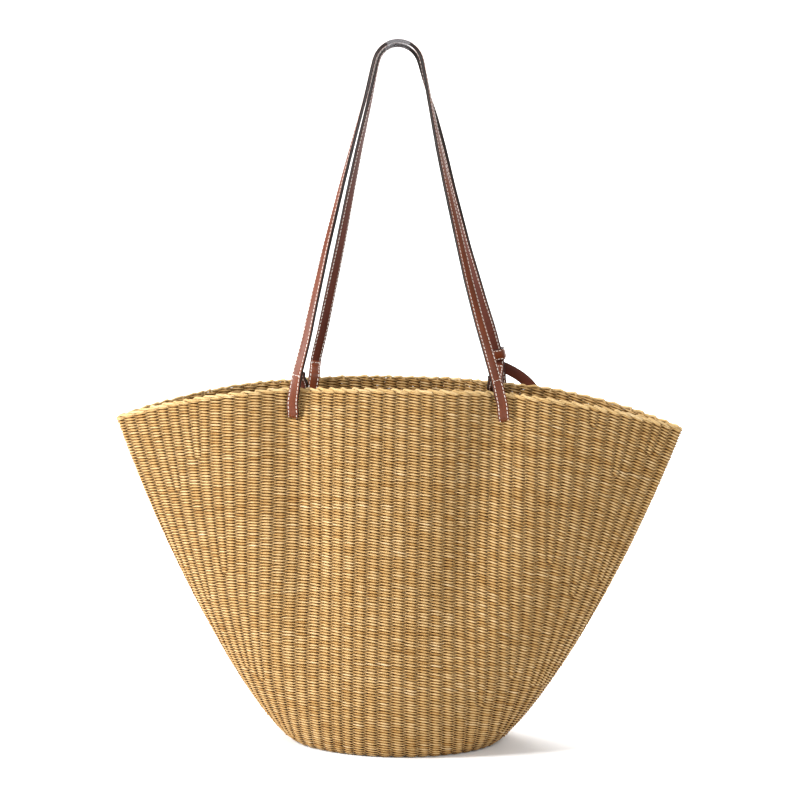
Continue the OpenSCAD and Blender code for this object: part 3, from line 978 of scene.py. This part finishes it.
def patch_pieces(leather, thread):
    """A sewn scrap of leather inside the back wall, under the rim"""
    outline = round_box(0.5, -0.5, 0.5, 0.12, 4)
    rings = np.stack([patch_point(0.5 - outline[:, 0]*size, 0.5 + outline[:, 1]*size, k)
                      for size, k in PATCH_SECTION])[None, ::-1]
    shell = Shell()
    shell.add_tubes(rings, fibre=rings)
    piece = shell.build("patch_leather", [leather], "leather")
    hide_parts("inner_patch")
    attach(piece, "bag")

    shell = Shell()
    for share in PATCH_SEAMS:
        line = patch_point(np.full(9, share), np.linspace(0.1, 0.9, 9), PATCH_SEAM_K)
        run = along_line(line)
        place = points_at(np.arange(2.0, run[-1], STITCH_PITCH), run, line)
        along = np.broadcast_to(line[-1] - line[0], place.shape)
        add_stitches(shell, place, along, np.broadcast_to([0.0, -1.0, 0.0], place.shape))
    piece = shell.build("patch_thread", [thread], "thread")
    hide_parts("inner_patch_seams")
    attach(piece, "bag")


# -------------------- materials
def add_node(tree, kind, inputs=None, **settings):
    node = tree.nodes.new("ShaderNode" + kind)
    for key, value in settings.items():
        setattr(node, key, value)
    for key, value in (inputs or {}).items():
        if isinstance(value, bpy.types.NodeSocket):
            tree.links.new(value, node.inputs[key])
        else:
            node.inputs[key].default_value = value
    return node


def new_material(name, **shader):
    material = bpy.data.materials.new(name)
    material.use_nodes = True
    tree = material.node_tree
    principled = tree.nodes["Principled BSDF"]
    for key, value in shader.items():
        principled.inputs[key.replace("_", " ")].default_value = value
    return material, tree, principled


def ramp(tree, factor, stops):
    node = add_node(tree, "ValToRGB", {"Fac": factor})
    elements = node.color_ramp.elements
    while len(elements) < len(stops):
        elements.new(0.5)
    for element, (place, colour) in zip(elements, stops):
        element.position = place
        element.color = (*colour, 1.0)
    return node.outputs["Color"]


def maths(tree, operation, a, b=0.0, c=0.0, clamp=False):
    node = add_node(tree, "Math", {0: a, 1: b, 2: c}, operation=operation, use_clamp=clamp)
    return node.outputs[0]


def scaled(tree, vector, scale):
    node = add_node(tree, "VectorMath", {0: vector, 1: scale}, operation="MULTIPLY")
    return node.outputs[0]


def noise(tree, vector, scale, detail=3.0, rough=0.55):
    node = add_node(tree, "TexNoise", {"Vector": vector, "Scale": scale, "Detail": detail,
                                       "Roughness": rough})
    return node.outputs["Fac"]


def point_value(tree, name, output="Fac"):
    """A value that Shell gives to every point of a piece"""
    return add_node(tree, "Attribute", attribute_name=name).outputs[output]


def set_roughness(tree, principled, factor, low, high):
    rough = add_node(tree, "MapRange", {"Value": factor, "From Min": 0.3, "From Max": 0.7,
                                        "To Min": low, "To Max": high})
    tree.links.new(rough.outputs["Result"], principled.inputs["Roughness"])


def set_bump(tree, principled, height, strength, distance):
    bump = add_node(tree, "Bump", {"Height": height, "Strength": strength, "Distance": distance})
    tree.links.new(bump.outputs["Normal"], principled.inputs["Normal"])


STRAW_STOPS = [(0.0, (0.26, 0.120, 0.028)), (0.35, (0.45, 0.266, 0.088)),
               (0.60, (0.60, 0.410, 0.184)), (0.80, (0.72, 0.545, 0.310)),
               (1.0, (0.88, 0.745, 0.540))]
# Painted shade: colours multiplied into the straw, from its darkest shade at 0 to none at 0.85 and above
SHADE_STOPS = [(0.0, (0.06, 0.025, 0.006)), (0.35, (0.48, 0.34, 0.20)), (0.85, (1.0, 1.0, 1.0))]


def straw_material():
    """Dried grass: each stitch has its own tone, with fine fibres along it and stained patches,
    and painted shade darkens it on each straw's sides and where it dips between its neighbours"""
    material, tree, principled = new_material("twined_straw", Specular_IOR_Level=0.12)
    tone = point_value(tree, "tone")
    # painted shade that each piece gives its points
    shade = point_value(tree, "shade")
    fibre = point_value(tree, "fibre", "Vector")
    place = add_node(tree, "TexCoord").outputs["Object"]
    streaks = noise(tree, scaled(tree, fibre, (0.10, 1.5, 1.5)), 1.6, 4.0, 0.6)
    fine = noise(tree, scaled(tree, fibre, (0.25, 5.0, 5.0)), 1.5, 2.0, 0.5)
    patches = noise(tree, scaled(tree, place, (1.0, 1.0, 1.6)), 30.0, 2.0, 0.5)
    value = maths(tree, "MULTIPLY_ADD", streaks, 1.00, maths(tree, "SUBTRACT", tone, 0.76))
    value = maths(tree, "MULTIPLY_ADD", fine, 0.40, value)
    value = maths(tree, "MULTIPLY_ADD", patches, 0.14, value, clamp=True)
    # the painted shade is multiplied into the straw's colour
    colour = add_node(tree, "Mix", {"Factor": 1.0, "A": ramp(tree, value, STRAW_STOPS),
                                    "B": ramp(tree, shade, SHADE_STOPS)},
                      data_type="RGBA", blend_type="MULTIPLY")
    tree.links.new(colour.outputs["Result"], principled.inputs["Base Color"])
    set_roughness(tree, principled, streaks, 0.52, 0.75)
    set_bump(tree, principled, maths(tree, "MULTIPLY_ADD", fine, 0.5, streaks), 0.8, 0.5*MM)
    return material


def leather_material(name, dark, light, roughness, grain, **shader):
    """Full-grain leather with a fine pebbled grain and slow changes of colour"""
    material, tree, principled = new_material(name, **shader)
    fibre = point_value(tree, "fibre", "Vector")
    slow = noise(tree, scaled(tree, fibre, (0.03, 0.12, 0.12)), 1.0, 3.0)
    pores = add_node(tree, "TexVoronoi", {"Vector": fibre, "Scale": 1.5}, feature="DISTANCE_TO_EDGE")
    mottle = noise(tree, fibre, 0.9, 4.0, 0.6)
    value = maths(tree, "MULTIPLY_ADD", mottle, 0.6, maths(tree, "MULTIPLY", slow, 0.8))
    value = maths(tree, "SUBTRACT", value, 0.2, clamp=True)
    tree.links.new(ramp(tree, value, [(0.2, dark), (0.8, light)]), principled.inputs["Base Color"])
    set_roughness(tree, principled, mottle, roughness - 0.06, roughness + 0.08)
    cells = maths(tree, "MULTIPLY", pores.outputs["Distance"], 0.6)
    set_bump(tree, principled, maths(tree, "MULTIPLY_ADD", mottle, 0.5, cells), grain, 0.2*MM)
    return material


def thread_material():
    """Waxed white thread, a little greyer on some stitches"""
    material, tree, principled = new_material("waxed_thread", Roughness=0.55)
    tone = point_value(tree, "tone")
    place = add_node(tree, "TexCoord").outputs["Object"]
    ply = add_node(tree, "TexWave", {"Vector": place, "Scale": 450.0, "Distortion": 1.0},
                   bands_direction="DIAGONAL")
    shade = maths(tree, "MULTIPLY_ADD", ply.outputs["Fac"], 0.3, maths(tree, "MULTIPLY", tone, 0.7))
    colour = ramp(tree, shade, [(0.0, (0.52, 0.44, 0.36)), (1.0, (0.90, 0.86, 0.80))])
    tree.links.new(colour, principled.inputs["Base Color"])
    set_bump(tree, principled, ply.outputs["Fac"], 0.4, 0.1*MM)
    return material


def film_material():
    """Thin clear film, slightly grey, with faint wrinkles"""
    material, tree, principled = new_material("clear_film", Base_Color=(0.30, 0.29, 0.30, 1.0),
                                              Alpha=0.30, Roughness=0.14)
    place = add_node(tree, "TexCoord").outputs["Object"]
    set_bump(tree, principled, noise(tree, place, 160.0, 2.0), 0.3, 0.5*MM)
    return material


straw = straw_material()
leather = leather_material("brown_leather", (0.078, 0.0155, 0.0035), (0.172, 0.036, 0.008), 0.40, 1.0,
                           Specular_IOR_Level=0.34)
lining = leather_material("lining_leather", (0.060, 0.012, 0.006), (0.105, 0.023, 0.011), 0.46, 0.35,
                          Specular_IOR_Level=0.3)
edge_paint = leather_material("edge_paint", (0.006, 0.0035, 0.003), (0.016, 0.008, 0.006), 0.42, 0.2,
                              Specular_IOR_Level=0.3)
thread = thread_material()
film = film_material()


# -------------------- pieces
weave_pieces(straw)
stake_piece(straw)
rim_piece(straw)
for handle_side in (-1, 1):
    strap_pieces(handle_side, leather, lining, edge_paint)
    strap_stitches(handle_side, thread)
    sleeve_piece(handle_side, film)
keeper_pieces(leather, edge_paint, thread)
tag_strap_piece(lining, edge_paint)
tag_pieces(leather, edge_paint, thread)
patch_pieces(leather, thread)


# -------------------- studio
STAGE_HALF = 6.0
SWEEP_START = 4.0
SWEEP_R = 1.5
SWEEP_STEPS = 13
# Name, place, aim, size and power of each light
SOFTBOXES = [("key", (-2.6, -1.5, 2.2), (0, 0, 0.25), 0.7, 172.0),
             ("side", (-2.5, -0.25, 0.5), (-0.2, 0, 0.25), 0.8, 32.0),
             ("fill", (1.7, -2.4, 2.0), (0, 0, 0.2), 1.4, 55.0),
             ("low", (0.0, -0.42, 0.07), (0, 0, 0.07), 0.4, 0.36),
             ("top", (0.2, 0.5, 2.8), (0, 0, 0.2), 1.4, 10.0),
             ("backdrop", (0.0, 1.6, 3.2), (0, 5.2, 0.4), 2.5, 420.0)]
SKY_STRENGTH = 0.30


def add_floor():
    """Pale sweep: a floor that curves up into a backdrop far behind the bag"""
    curve = [(SWEEP_START + SWEEP_R*math.sin(t), SWEEP_R - SWEEP_R*math.cos(t))
             for t in np.linspace(0, np.pi/2, SWEEP_STEPS)]
    outline = [(-STAGE_HALF, 0.0)] + curve + [(SWEEP_START + SWEEP_R, STAGE_HALF)]
    points = [(x, y, z) for y, z in outline for x in (-STAGE_HALF, STAGE_HALF)]
    faces = [(2*i, 2*i + 1, 2*i + 3, 2*i + 2) for i in range(len(outline) - 1)]
    mesh = bpy.data.meshes.new("studio_floor")
    mesh.from_pydata(points, [], faces)
    mesh.shade_smooth()
    mesh.materials.append(new_material("pale_floor", Base_Color=(0.90, 0.90, 0.90, 1.0), Roughness=0.9,
                                       Specular_IOR_Level=0.1)[0])
    add_object("studio_floor", mesh)


def add_softbox(name, place, aim, size, power):
    data = bpy.data.lights.new(name, "AREA")
    data.shape = "SQUARE"
    data.size = size
    data.energy = power
    light = add_object(name, data)
    place = Vector(place)
    turn = (Vector(aim) - place).to_track_quat("-Z", "Y").to_matrix().to_4x4()
    light.matrix_world = Matrix.Translation(place) @ turn


def add_world(strength):
    world = bpy.data.worlds.new("studio")
    world.use_nodes = True
    background = world.node_tree.nodes["Background"]
    background.inputs["Color"].default_value = (1.0, 1.0, 1.0, 1.0)
    background.inputs["Strength"].default_value = strength
    bpy.context.scene.world = world


add_floor()
for softbox in SOFTBOXES:
    add_softbox(*softbox)
add_world(SKY_STRENGTH)
bpy.context.scene.view_settings.view_transform = "Standard"
